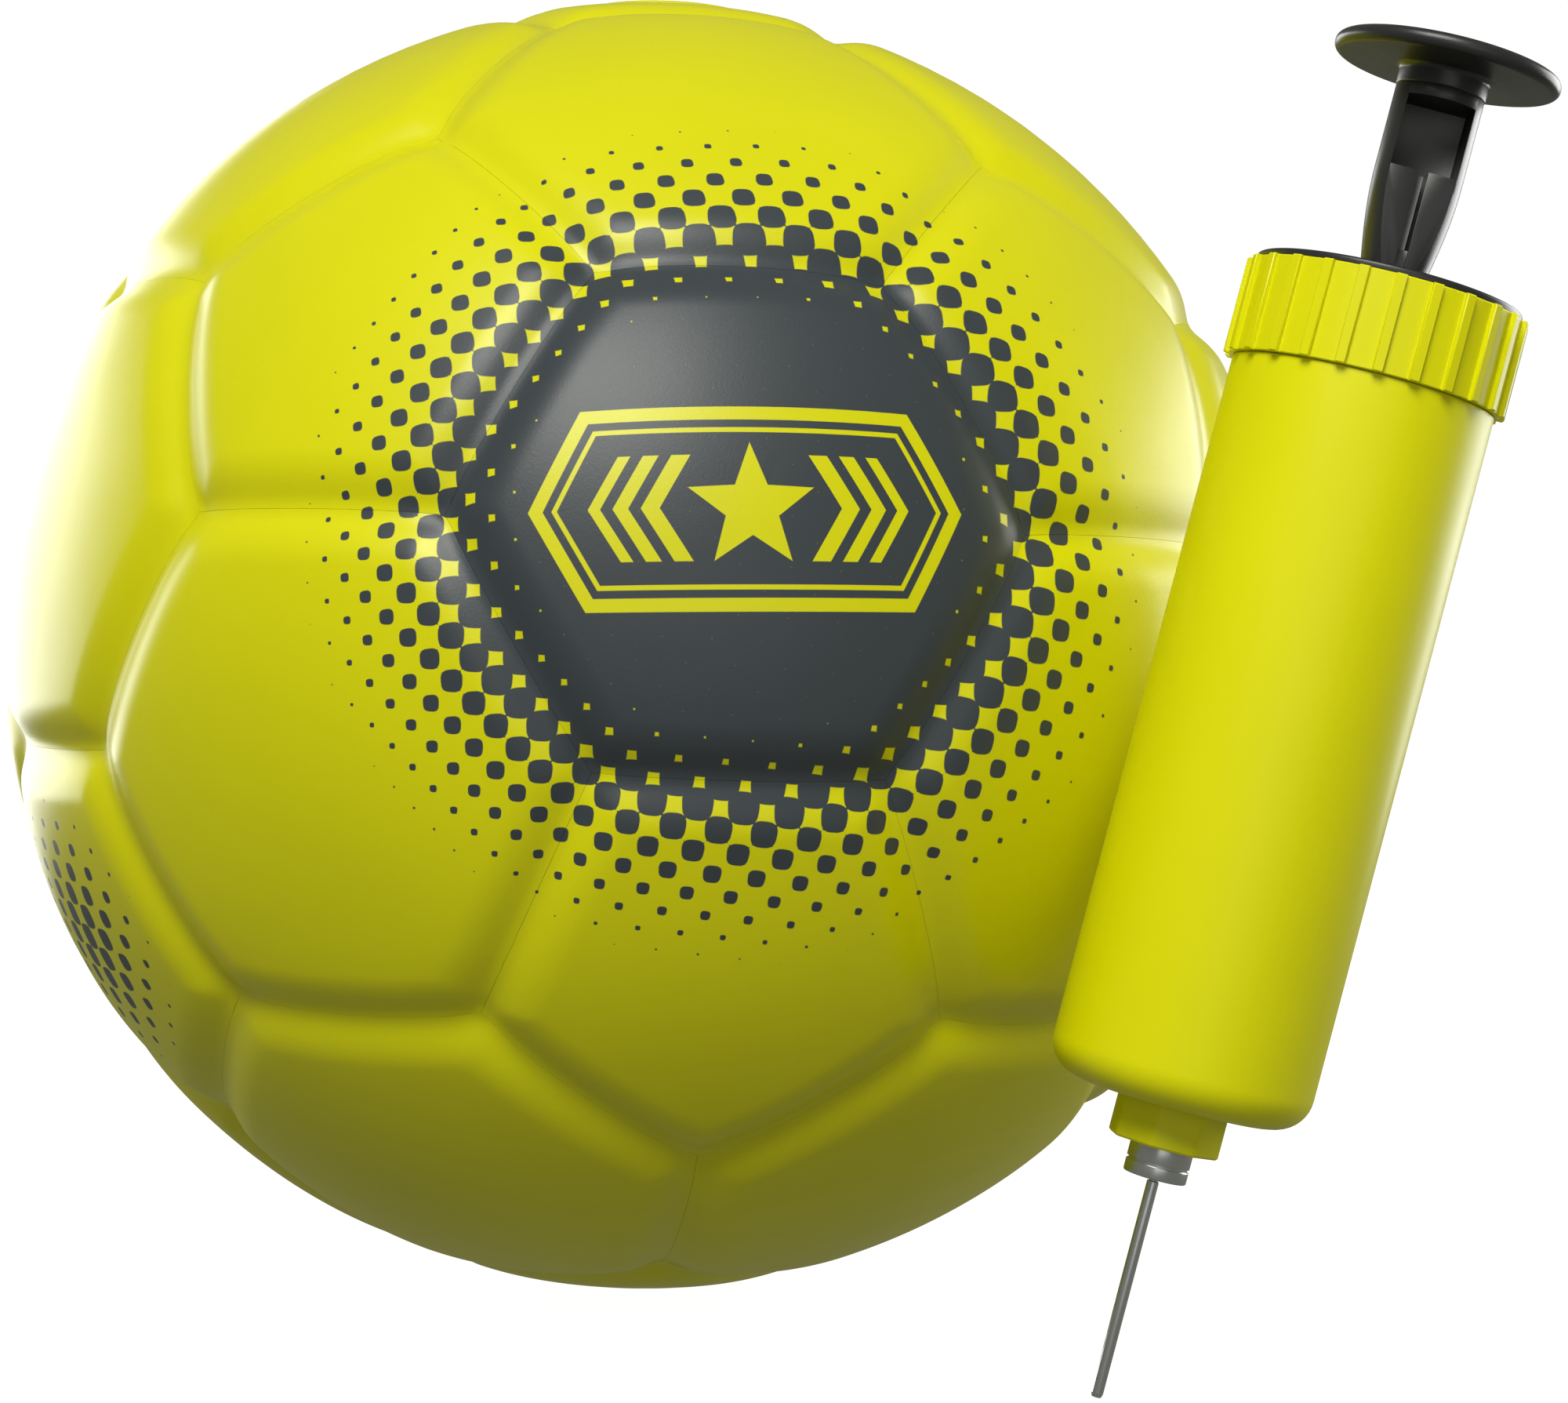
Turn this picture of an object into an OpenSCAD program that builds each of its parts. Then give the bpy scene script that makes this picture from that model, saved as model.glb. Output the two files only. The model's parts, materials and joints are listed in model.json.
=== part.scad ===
// Tetherball with its hand pump and inflation needle.
// The ball stands on one pentagon panel. Its tether hitch is at the top and the pump leans beside it.
// The pump's parts are drawn upright, with the needle's tip at their origin, and then placed.

/* [Ball] */
// Diameter over the crowns of the panels
ball_d = 216; // [200:1:230]
// Thickness of the foam-backed cover
cover_t = 4; // [3:0.1:5]
// Thickness of the wound carcass
carcass_t = 1.3; // [0.8:0.1:2]
// Thickness of the bladder
bladder_t = 1.1; // [0.8:0.1:2]
// Depth of the valleys between the panels
valley_depth = 2.4; // [0.5:0.1:2.8]
// Width of the slope on each side of a valley
valley_slope_w = 6; // [2:0.5:8]
// Gap between neighbouring panels and between the ball's layers
layer_gap = 0.1; // [0.05:0.05:0.3]

/* [Ball orientation] */
// Turn of the ball about the vertical, from its first upper pentagon
ball_spin = 27.77; // [0:0.01:72]
// Lean of the ball's pole about the X axis
pole_lean_x = -1.18; // [-3:0.01:3]
// Lean of the ball's pole about the Y axis
pole_lean_y = 1.67; // [-3:0.01:3]

/* [Tether hitch] */
// Radius of the recess inside the hitch cup
hitch_recess_r = 10; // [9:0.5:11]
// Depth of the recess below the crown of the ball
hitch_recess_depth = 14; // [12:0.5:16]
// Wall thickness of the hitch cup
hitch_wall = 2; // [1.5:0.5:3]
// Radius of the steel cross pin
hitch_pin_r = 2; // [1.5:0.1:2.5]
// Depth of the cross pin's axis below the crown of the ball
hitch_pin_depth = 5; // [4:0.5:6]

/* [Valve] */
// Radius of the needle hole in the valve plug
needle_hole_r = 1; // [0.95:0.01:1.1]
// Radius of the soft valve plug
valve_plug_r = 2.6; // [2:0.1:3]
// Radius of the valve housing where it passes through the cover
valve_r = 4.4; // [4:0.1:6]
// Length of the valve plug
valve_plug_l = 14; // [10:0.5:18]

/* [Needle] */
// Radius of the needle tube
needle_r = 0.9; // [0.8:0.05:0.95]
// Length of the tube below the hub
needle_l = 33.2; // [25:0.1:40]
// Radius of the hub
hub_r = 4.7; // [4.5:0.1:5.5]
// Height of the hub
hub_h = 4.8; // [4:0.1:6]
// Outer radius of the hub's threaded stub
stub_r = 3.8; // [3.7:0.05:3.9]
// Length of the threaded stub
stub_l = 6.5; // [6:0.5:8]

/* [Pump barrel] */
// Outer radius of the barrel
barrel_r = 19.5; // [19:0.1:20]
// Length of the barrel's smooth wall, from its lower face to its shoulder under the collar
barrel_l = 108; // [103:0.1:112]
// Wall thickness of the barrel
barrel_wall = 2.5; // [2:0.1:2.7]
// Radius of the rounding at the barrel's lower end
barrel_round = 5.4; // [4:0.1:6]
// Radius of the eight-sided nozzle across its flats
nozzle_r = 7.8; // [7:0.1:9]
// Height of the nozzle
nozzle_h = 6.6; // [6:0.1:8]

/* [Collar and end cap] */
// Outer radius of the collar between its ribs
collar_r = 20.2; // [20.2:0.1:21]
// Height of the collar
collar_h = 14.2; // [13:0.1:16]
// Number of grip ribs
rib_count = 24; // [20:1:28]
// Height of a grip rib above the collar
rib_h = 0.8; // [0.5:0.1:1.2]
// Width of a grip rib
rib_w = 1.5; // [1:0.1:2]
// Turn of the first rib about the pump's axis
rib_turn = -3.8; // [-15:0.1:15]
// Radius of the end cap's flange
cap_r = 19.8; // [19:0.1:20.2]
// Thickness of the end cap's flange above the collar
cap_lip = 1.2; // [1:0.1:2]

/* [Plunger] */
// Radius of the plunger rod
rod_r = 4.5; // [4:0.1:5]
// Radius of the handle stem at its widest
stem_r = 6.55; // [6:0.05:7]
// Height of the push disc's underside above the end cap
disc_rise = 31.8; // [30:0.1:34]
// Radius of the push disc
disc_r = 16.8; // [16:0.1:18]
// Thickness of the push disc
disc_t = 2.5; // [2:0.1:3]
// Width of the window in the handle stem
window_w = 10; // [8:0.1:11]
// Height of the window in the handle stem
window_h = 10.5; // [8:0.1:11]
// Radius of the handle stem at its foot, on the end cap
stem_foot_r = 4.6; // [4.5:0.05:5.5]
// Height over which the stem widens from its foot
stem_taper_h = 16.3; // [15:0.1:18]
// Width of the groove down the front of the stem
groove_w = 1.5; // [1:0.1:2]

/* [Arrangement] */
// Lean of the pump to the side
lean_side = 14.8; // [10:0.1:18]
// Lean of the pump back towards the ball
lean_back = 2; // [0:0.1:2.2]
// Place of the needle's tip beside the ball's lowest point, along X
needle_x = 68.7; // [68.7:0.1:80]
// Place of the needle's tip in front of the ball's lowest point, along Y
needle_y = -91.4; // [-100:0.1:-91.4]

/* [Hidden] */
$fn = 96;
// Overlap between joined solids
e = 0.01;
// Gap between a part and the socket that it is fixed in
fit_gap = 0.02;

// Ball
ball_r = ball_d / 2;
cover_in_r = ball_r - cover_t;
carcass_out_r = cover_in_r - layer_gap;
carcass_in_r = carcass_out_r - carcass_t;
bladder_out_r = carcass_in_r - layer_gap;
bladder_in_r = bladder_out_r - bladder_t;
// Angle at the ball's centre between two neighbouring pentagons
pent_to_pent = atan(2);
// Angle from a pentagon's centre to the hexagons around it
pent_to_hex = acos(sqrt((5 + 2 * sqrt(5)) / 15));
// Angle between two neighbouring hexagons
hex_to_hex = acos(sqrt(5) / 3);
hex_edge_angle = hex_to_hex / 2;
pent_edge_angle = pent_to_hex - hex_edge_angle;

// Rings of panels from the top down: polar angle, azimuth of the first, turn in the panel's own plane
hex_rings = [
    [pent_to_hex, 36, 180],
    [pent_to_hex + hex_to_hex, 36, 0],
    [180 - pent_to_hex - hex_to_hex, 0, 180],
    [180 - pent_to_hex, 0, 0]
];
pent_rings = [
    [pent_to_pent, 0, 180],
    [180 - pent_to_pent, 36, 0]
];
hex_places = [for (ring = hex_rings) for (k = [0:4]) [ring[0], ring[1] + 72 * k, ring[2]]];
pent_places = concat(
    [[0, 0, 0]],
    [for (ring = pent_rings) for (k = [0:4]) [ring[0], ring[1] + 72 * k, ring[2]]],
    [[180, 216, 0]]
);
valve_hex = 0;
hitch_pent = 0;

// Tether hitch, measured from the ball's centre along its own axis
hitch_out_r = hitch_recess_r + hitch_wall;
hitch_floor_z = ball_r - hitch_recess_depth;
hitch_bottom_z = hitch_floor_z - hitch_wall;
hitch_flange_r = hitch_out_r + 2;
hitch_flange_t = 1.6;
hitch_top_z = ball_r - 0.3;
hitch_pin_z = ball_r - hitch_pin_depth;
hitch_pin_l = 2 * hitch_recess_r + hitch_wall;
pocket_in_r = hitch_out_r + layer_gap;
pocket_out_r = pocket_in_r + bladder_t;

// Valve, measured from the ball's centre along its own axis
valve_top_z = ball_r - 0.4;
valve_plug_top_z = valve_top_z - 0.6;
valve_plug_bottom_z = valve_plug_top_z - valve_plug_l;
valve_foot_r = 8;
valve_foot_t = 1.5;
valve_mouth_r = needle_hole_r + 0.6;

// Pump, measured from the needle's tip along its own axis
hub_bottom_z = needle_l;
hub_top_z = hub_bottom_z + hub_h;
seat_gap = 0.05;
nozzle_bottom_z = hub_top_z + seat_gap;
barrel_bottom_z = nozzle_bottom_z + nozzle_h;
barrel_foot_z = barrel_bottom_z + barrel_round;
barrel_in_r = barrel_r - barrel_wall;
barrel_floor_z = barrel_bottom_z + barrel_wall;
shoulder_z = barrel_bottom_z + barrel_l;
neck_r = barrel_r - 1.4;
collar_bottom_z = shoulder_z + 0.05;
collar_in_r = neck_r + 0.3;
collar_top_z = collar_bottom_z + collar_h;
cap_top_z = collar_top_z + cap_lip;
cap_plug_r = collar_in_r - 0.05;
cap_plug_bottom_z = collar_top_z - 2.8;
gasket_t = 0.8;
barrel_top_z = cap_plug_bottom_z - gasket_t - 2 * seat_gap;
gasket_z = barrel_top_z + seat_gap;
gasket_in_r = barrel_in_r - 0.6;
bush_r = 7.5;
bush_bore_r = rod_r + 0.05;
cap_round = 0.5;
nozzle_turn = 26.5;
rib_root = 1;

// Plunger
piston_bottom_z = barrel_floor_z + 3;
piston_h = 9;
piston_r = barrel_in_r - 0.6;
cup_r = barrel_in_r - 0.15;
cup_t = 0.8;
cup_h = 7;
piston_core_r = piston_r - 3;
rod_stub_r = 2.6;
rod_stub_z = piston_bottom_z + 3;
screw_r = 1.2;
screw_hole_r = 1.6;
screw_head_r = 3;
screw_head_h = 1.75;
screw_top_z = piston_bottom_z + piston_h + 4;
disc_bottom_z = cap_top_z + disc_rise;
disc_top_z = disc_bottom_z + disc_t;
stem_bottom_z = cap_top_z + 0.2;
boss_h = 3;
boss_r = stem_r + 0.2;
stem_socket_r = stem_r - 1;
stem_socket_z = disc_bottom_z + 1;
spigot_r = 3.2;
spigot_l = 4;
window_bottom_z = stem_bottom_z + stem_taper_h;
window_back_y = 3.4;
stem_flat_y = -4.3;
groove_wall = 0.5;

// Needle
tube_bore_r = 0.4;
tube_bore_z = 3;
tube_neck_r = needle_r - 0.25;
tube_neck_z = hub_bottom_z - 0.6;
tube_seat_z = hub_bottom_z + 3.9;
side_port_r = 0.45;
side_port_z = 5;
dimple_r = 1.9;
dimple_h = 0.4;
hub_groove_h = 0.4;
hub_groove_depth = 0.3;
hub_groove_z = hub_bottom_z + 1.9;
seal_in_r = stub_r + 0.05;
seal_out_r = hub_r - 0.15;
seal_t = 0.9;
socket_r = 3.95;
port_r = 1.2;

// Origin: the middle of the lower face of the whole set's box
disc_rim = disc_t / 2;
lean = acos(cos(lean_side) * cos(lean_back));
needle_lift = needle_r * sin(lean);
set_right_x = needle_x + (disc_bottom_z + disc_rim) * sin(lean_side)
    + (disc_r - disc_rim) * cos(lean_side) + disc_rim;
set_front_y = needle_y + (barrel_bottom_z + barrel_round) * cos(lean_side) * sin(lean_back)
    - barrel_r * sqrt(1 - pow(cos(lean_side) * sin(lean_back), 2));
origin_x = (set_right_x - ball_r) / 2;
origin_y = (set_front_y + ball_r) / 2;

HEX_NODES = [for (i = [1:20]) str("hexagon_panel_", i < 10 ? "0" : "", i)];
PENT_NODES = [for (i = [1:12]) str("pentagon_panel_", i < 10 ? "0" : "", i)];

cover_colour = [0.84, 0.84, 0.05];
pump_yellow = [0.80, 0.80, 0.05];
black_plastic = [0.06, 0.06, 0.065];
steel_colour = [0.62, 0.64, 0.66];
rubber_colour = [0.10, 0.10, 0.10];
thread_colour = [0.85, 0.84, 0.78];
valve_grey = [0.20, 0.20, 0.20];
piston_white = [0.85, 0.85, 0.82];

// Puts children drawn about the ball's own pole where the ball stands
module on_ball() {
    translate([-origin_x, -origin_y, ball_r])
        rotate([pole_lean_x, 0, 0])
            rotate([0, pole_lean_y, 0])
                rotate([0, 0, ball_spin])
                    children();
}

// Puts children drawn upwards from the ball's centre at one panel's place
module at_panel(place) {
    on_ball()
        rotate([0, place[0], place[1]])
            rotate([0, 0, place[2]])
                children();
}

// Puts children drawn upright from the needle's tip where the pump stands
module on_pump() {
    translate([needle_x - origin_x, needle_y - origin_y, needle_lift])
        rotate([-lean_back, 0, 0])
            rotate([0, lean_side, 0])
                children();
}

module ring(outer_r, inner_r, z0, z1) {
    difference() {
        translate([0, 0, z0])
            cylinder(r = outer_r, h = z1 - z0);
        translate([0, 0, z0 - 1])
            cylinder(r = inner_r, h = z1 - z0 + 2);
    }
}

module disc(r, z0, z1) {
    translate([0, 0, z0])
        cylinder(r = r, h = z1 - z0);
}

module ball_shell(outer_r, inner_r) {
    difference() {
        sphere(r = outer_r);
        sphere(r = inner_r);
    }
}

// What lies past one edge of a panel, with the slope of the valley: a solid turned about the edge's pole
module past_edge(edge_angle) {
    rotate([0, edge_angle, 0])
        rotate([0, 90, 0])
            rotate_extrude()
                polygon([
                    [0, -layer_gap / 2],
                    [ball_r - valley_depth, -layer_gap / 2],
                    [ball_r + 0.5, -valley_slope_w * (1 + 0.5 / valley_depth)],
                    [ball_r + 0.5, ball_r],
                    [0, ball_r]
                ]);
}

// One cover panel about the Z axis, with the given number of sides and angle out to each edge
module panel(sides, edge_angle) {
    cut_edges(sides, sides, edge_angle);
}

// A cap of the cover's shell with its first edges cut, one after another
module cut_edges(count, sides, edge_angle) {
    if (count == 0)
        intersection() {
            ball_shell(ball_r, cover_in_r);
            disc(ball_r * sin(edge_angle + 6), ball_r / 2, ball_r + 1);
        }
    else
        difference() {
            cut_edges(count - 1, sides, edge_angle);
            rotate([0, 0, 360 * count / sides])
                past_edge(edge_angle);
        }
}

module hexagon_panel(index) {
    color(cover_colour)
        at_panel(hex_places[index])
            difference() {
                panel(6, hex_edge_angle);
                if (index == valve_hex)
                    disc(valve_r + layer_gap, cover_in_r - 2, ball_r + 1);
            }
}

module pentagon_panel(index) {
    color(cover_colour)
        at_panel(pent_places[index])
            difference() {
                rotate([0, 0, 36])
                    panel(5, pent_edge_angle);
                if (index == hitch_pent) {
                    disc(pocket_in_r, cover_in_r - 4, ball_r + 1);
                    disc(hitch_flange_r + layer_gap, hitch_top_z - hitch_flange_t - layer_gap, ball_r + 1);
                }
            }
}

module carcass() {
    color(thread_colour)
        difference() {
            on_ball()
                difference() {
                    ball_shell(carcass_out_r, carcass_in_r);
                    disc(pocket_in_r, ball_r / 2, ball_r);
                }
            at_panel(hex_places[valve_hex])
                disc(valve_r + layer_gap, ball_r / 2, ball_r);
        }
}

module bladder() {
    color(rubber_colour)
        difference() {
            on_ball()
                difference() {
                    union() {
                        ball_shell(bladder_out_r, bladder_in_r);
                        intersection() {
                            sphere(r = bladder_out_r);
                            disc(pocket_out_r, hitch_bottom_z - layer_gap - bladder_t, ball_r);
                        }
                    }
                    disc(pocket_in_r, hitch_bottom_z - layer_gap, ball_r);
                }
            at_panel(hex_places[valve_hex])
                disc(valve_r + layer_gap, ball_r / 2, ball_r);
        }
}

module valve_housing() {
    foot_z = bladder_in_r - 1 - valve_foot_t;
    color(rubber_colour)
        at_panel(hex_places[valve_hex])
            difference() {
                union() {
                    disc(valve_r, foot_z, valve_top_z);
                    disc(valve_foot_r, foot_z, foot_z + valve_foot_t);
                }
                disc(valve_plug_r + fit_gap, foot_z - 1, valve_plug_top_z);
                disc(valve_mouth_r, valve_plug_top_z - 1, valve_top_z + 1);
            }
}

module valve_plug() {
    color(valve_grey)
        at_panel(hex_places[valve_hex])
            ring(valve_plug_r, needle_hole_r, valve_plug_bottom_z, valve_plug_top_z);
}

module hitch_cup() {
    color(cover_colour)
        at_panel(pent_places[hitch_pent])
            difference() {
                union() {
                    disc(hitch_out_r, hitch_bottom_z, hitch_top_z);
                    disc(hitch_flange_r, hitch_top_z - hitch_flange_t, hitch_top_z);
                }
                disc(hitch_recess_r, hitch_floor_z, ball_r + 1);
                hitch_pin_bar(hitch_pin_r + fit_gap, hitch_pin_l + layer_gap);
            }
}

// The cross pin lies along the X axis of the set, whatever way the ball is turned
module hitch_pin_bar(r, l) {
    translate([0, 0, hitch_pin_z])
        rotate([0, 0, -ball_spin])
            rotate([0, 90, 0])
                cylinder(r = r, h = l, center = true);
}

module hitch_pin() {
    color(steel_colour)
        at_panel(pent_places[hitch_pent])
            hitch_pin_bar(hitch_pin_r, hitch_pin_l);
}

// Points along an arc about [cx, cy], from angle a0 to angle a1 in n steps
function arc(cx, cy, r, a0, a1, n) = [
    for (i = [0:n])
        let (a = a0 + (a1 - a0) * i / n)
            [cx + r * cos(a), cy + r * sin(a)]
];

module pump_barrel() {
    color(pump_yellow)
        on_pump()
            difference() {
                union() {
                    rotate_extrude()
                        polygon(concat(
                            [[0, barrel_bottom_z]],
                            arc(barrel_r - barrel_round, barrel_foot_z, barrel_round, -90, 0, 6),
                            [[barrel_r, shoulder_z], [neck_r, shoulder_z]],
                            [[neck_r, barrel_top_z], [0, barrel_top_z]]
                        ));
                    translate([0, 0, nozzle_bottom_z])
                        rotate([0, 0, nozzle_turn])
                            cylinder(r = nozzle_r / cos(22.5), h = nozzle_h + 1, $fn = 8);
                }
                disc(barrel_in_r, barrel_floor_z, barrel_top_z + 1);
                disc(socket_r, nozzle_bottom_z - 1, nozzle_bottom_z + stub_l + 0.6);
                disc(seal_out_r + 0.1, nozzle_bottom_z - 1, nozzle_bottom_z + seal_t + 0.1);
                disc(port_r, nozzle_bottom_z, barrel_floor_z + 1);
            }
}

module cap_gasket() {
    color(rubber_colour)
        on_pump()
            ring(neck_r - 0.1, gasket_in_r, gasket_z, gasket_z + gasket_t);
}

module collar() {
    color(pump_yellow)
        on_pump()
            difference() {
                union() {
                    disc(collar_r, collar_bottom_z, collar_top_z);
                    for (i = [0:rib_count - 1])
                        rotate([0, 0, rib_turn + 360 * i / rib_count])
                            translate([collar_r - rib_root, -rib_w / 2, collar_bottom_z])
                                cube([rib_h + rib_root, rib_w, collar_h]);
                }
                disc(collar_in_r, collar_bottom_z - 1, collar_top_z + 1);
            }
}

module end_cap() {
    color(black_plastic)
        on_pump()
            difference() {
                union() {
                    rotate_extrude()
                        polygon(concat(
                            [[0, collar_top_z]],
                            [[cap_r, collar_top_z]],
                            arc(cap_r - cap_round, cap_top_z - cap_round, cap_round, 0, 90, 3),
                            [[0, cap_top_z]]
                        ));
                    disc(cap_plug_r, cap_plug_bottom_z, collar_top_z + 0.1);
                }
                disc(bush_r, cap_plug_bottom_z - 1, cap_top_z + 1);
            }
}

module rod_bush() {
    color(black_plastic)
        on_pump()
            ring(bush_r - fit_gap, bush_bore_r, cap_plug_bottom_z, cap_top_z - 0.2);
}

module push_disc() {
    color(black_plastic)
        on_pump()
            difference() {
                rotate_extrude()
                    polygon(concat(
                        [[0, disc_bottom_z - boss_h]],
                        [[boss_r, disc_bottom_z - boss_h], [boss_r, disc_bottom_z]],
                        arc(disc_r - disc_rim, disc_bottom_z + disc_rim, disc_rim, -90, 90, 8),
                        [[0, disc_top_z]]
                    ));
                disc(stem_socket_r, disc_bottom_z - boss_h - 1, stem_socket_z);
            }
}

// The stem without its window and groove: it widens from its foot, and a short plug at its top fills the boss
module stem_body() {
    rotate_extrude()
        polygon(concat(
            [[0, stem_bottom_z]],
            [for (i = [0:6]) [
                stem_foot_r + (stem_r - stem_foot_r) * sin(15 * i),
                stem_bottom_z + stem_taper_h * i / 6
            ]],
            [[stem_r, disc_bottom_z - boss_h], [0, disc_bottom_z - boss_h]]
        ));
    disc(stem_socket_r - fit_gap, disc_bottom_z - boss_h - 1, stem_socket_z - fit_gap);
}

module handle_stem() {
    front = -stem_r - 1;
    color(black_plastic)
        on_pump()
            difference() {
                stem_body();
                translate([-window_w / 2, front, window_bottom_z])
                    cube([window_w, window_back_y - front, window_h]);
                translate([front, front, stem_bottom_z - 1])
                    cube([-2 * front, stem_flat_y - front, stem_taper_h + 1 + e]);
                translate([-groove_w / 2, front, stem_bottom_z + spigot_l + 0.6])
                    cube([groove_w, -front, stem_taper_h - spigot_l]);
                translate([-groove_w / 2, front, stem_bottom_z - 1])
                    cube([groove_w, -front - spigot_r - groove_wall, stem_taper_h + 1 + e]);
                disc(spigot_r + fit_gap, stem_bottom_z - 1, stem_bottom_z + spigot_l + 0.1);
            }
}

module plunger_rod() {
    color(black_plastic)
        on_pump()
            difference() {
                union() {
                    disc(rod_r, piston_bottom_z + piston_h, stem_bottom_z);
                    disc(spigot_r, stem_bottom_z - e, stem_bottom_z + spigot_l);
                    disc(rod_stub_r, rod_stub_z, piston_bottom_z + piston_h + e);
                }
                disc(screw_r + fit_gap, piston_bottom_z, screw_top_z + 2);
            }
}

module piston_head() {
    color(piston_white)
        on_pump()
            difference() {
                union() {
                    disc(piston_r, piston_bottom_z + cup_h + 0.1, piston_bottom_z + piston_h);
                    disc(piston_core_r, piston_bottom_z + cup_t + 0.05, piston_bottom_z + piston_h);
                }
                disc(rod_stub_r + 0.05, rod_stub_z - 0.05, piston_bottom_z + piston_h + 1);
                disc(screw_hole_r, piston_bottom_z, piston_bottom_z + piston_h);
            }
}

module cup_seal() {
    color(rubber_colour)
        on_pump()
            difference() {
                disc(cup_r, piston_bottom_z, piston_bottom_z + cup_h);
                disc(cup_r - cup_t, piston_bottom_z + cup_t, piston_bottom_z + cup_h + 1);
                disc(screw_hole_r, piston_bottom_z - 1, piston_bottom_z + cup_t + 1);
            }
}

module piston_screw() {
    color(steel_colour)
        on_pump() {
            disc(screw_head_r, piston_bottom_z - screw_head_h - 0.05, piston_bottom_z - 0.05);
            disc(screw_r, piston_bottom_z - 0.1, screw_top_z);
        }
}

module needle_seal() {
    color(rubber_colour)
        on_pump()
            ring(seal_out_r, seal_in_r, nozzle_bottom_z, nozzle_bottom_z + seal_t);
}

module needle_hub() {
    color(steel_colour)
        on_pump()
            difference() {
                union() {
                    disc(hub_r, hub_bottom_z, hub_top_z);
                    disc(stub_r, hub_top_z - e, hub_top_z + stub_l);
                }
                ring(hub_r + 1, hub_r - hub_groove_depth, hub_groove_z, hub_groove_z + hub_groove_h);
                disc(dimple_r, hub_bottom_z - 1, hub_bottom_z + dimple_h);
                disc(tube_neck_r + e, hub_bottom_z - 1, tube_seat_z + 0.1);
                disc(port_r, tube_seat_z, hub_top_z + stub_l + 1);
            }
}

// The tube's point is closed, with a port in its side
module needle_tube() {
    color(steel_colour)
        on_pump()
            difference() {
                union() {
                    disc(needle_r, 0, tube_neck_z);
                    disc(tube_neck_r, tube_neck_z - e, tube_seat_z);
                }
                disc(tube_bore_r, tube_bore_z, tube_seat_z + 1);
                translate([0, 0, side_port_z])
                    rotate([-90, 0, 0])
                        cylinder(r = side_port_r, h = 2 * needle_r);
            }
}

for (i = [0:19])
    hexagon_panel(i);
for (i = [0:11])
    pentagon_panel(i);
carcass();
bladder();
valve_housing();
valve_plug();
hitch_cup();
hitch_pin();
pump_barrel();
cap_gasket();
collar();
end_cap();
rod_bush();
push_disc();
handle_stem();
plunger_rod();
piston_head();
cup_seal();
piston_screw();
needle_seal();
needle_hub();
needle_tube();
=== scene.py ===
"""Tetherball, hand pump and inflation needle: the looks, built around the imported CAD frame.

Everything is in metres in the frame's own axes. The ball's panels are drawn about their own centre lines
and the pump about its own axis, and both are then put where the frame has them.
"""

import json
import math

import bmesh
import bpy
import numpy as np
from mathutils import Matrix, Vector


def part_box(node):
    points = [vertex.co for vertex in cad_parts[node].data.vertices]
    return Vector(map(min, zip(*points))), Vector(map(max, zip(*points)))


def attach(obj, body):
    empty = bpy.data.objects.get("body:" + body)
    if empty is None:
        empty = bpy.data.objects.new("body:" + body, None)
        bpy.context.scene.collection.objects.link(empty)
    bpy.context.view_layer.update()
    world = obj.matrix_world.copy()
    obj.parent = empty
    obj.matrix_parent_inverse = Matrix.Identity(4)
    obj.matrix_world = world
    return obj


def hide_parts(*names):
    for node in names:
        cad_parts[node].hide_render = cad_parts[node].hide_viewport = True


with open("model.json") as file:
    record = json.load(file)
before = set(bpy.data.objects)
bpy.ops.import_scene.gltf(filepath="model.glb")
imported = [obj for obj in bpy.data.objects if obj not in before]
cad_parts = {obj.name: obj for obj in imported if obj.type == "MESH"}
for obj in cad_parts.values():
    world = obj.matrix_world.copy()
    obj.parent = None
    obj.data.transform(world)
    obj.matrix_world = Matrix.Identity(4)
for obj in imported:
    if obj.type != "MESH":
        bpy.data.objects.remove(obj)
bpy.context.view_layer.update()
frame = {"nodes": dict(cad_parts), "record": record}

MM = 0.001
UP = Vector((0, 0, 1))


# ---------------------------------------------------------------- the ball's layout

BALL_R = 108 * MM
COVER_T = 4 * MM
PANEL_GAP = 0.04 * MM
VALLEY_DEPTH = 2.3 * MM
VALLEY_W = 6 * MM
CORNER_DIP = 0.5 * MM
CORNER_DIP_W = 7 * MM
HOLE_DIP = 0.5 * MM
HOLE_DIP_W = 1.2 * MM

BALL_TURN = [("X", -1.18), ("Y", 1.67), ("Z", 27.77)]
PENT_TO_PENT = math.degrees(math.atan(2))
PENT_TO_HEX = math.degrees(math.acos(math.sqrt((5 + 2 * math.sqrt(5)) / 15)))
HEX_TO_HEX = math.degrees(math.acos(math.sqrt(5) / 3))
HEX_EDGE = HEX_TO_HEX / 2
PENT_EDGE = PENT_TO_HEX - HEX_EDGE

FRONT_HEX = "hexagon_panel_09"
BACK_HEX = "hexagon_panel_12"
VALVE_HEX = "hexagon_panel_01"
HITCH_PENT = "pentagon_panel_01"
VALVE_HOLE_R = 4.5 * MM
HITCH_HOLE_R = 14.1 * MM


def turn(axis, degrees):
    return Matrix.Rotation(math.radians(degrees), 3, axis)


def ball_centre():
    low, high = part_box("carcass")
    return Vector(((low[0] + high[0]) / 2, (low[1] + high[1]) / 2, BALL_R))


CENTRE = ball_centre()


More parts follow.
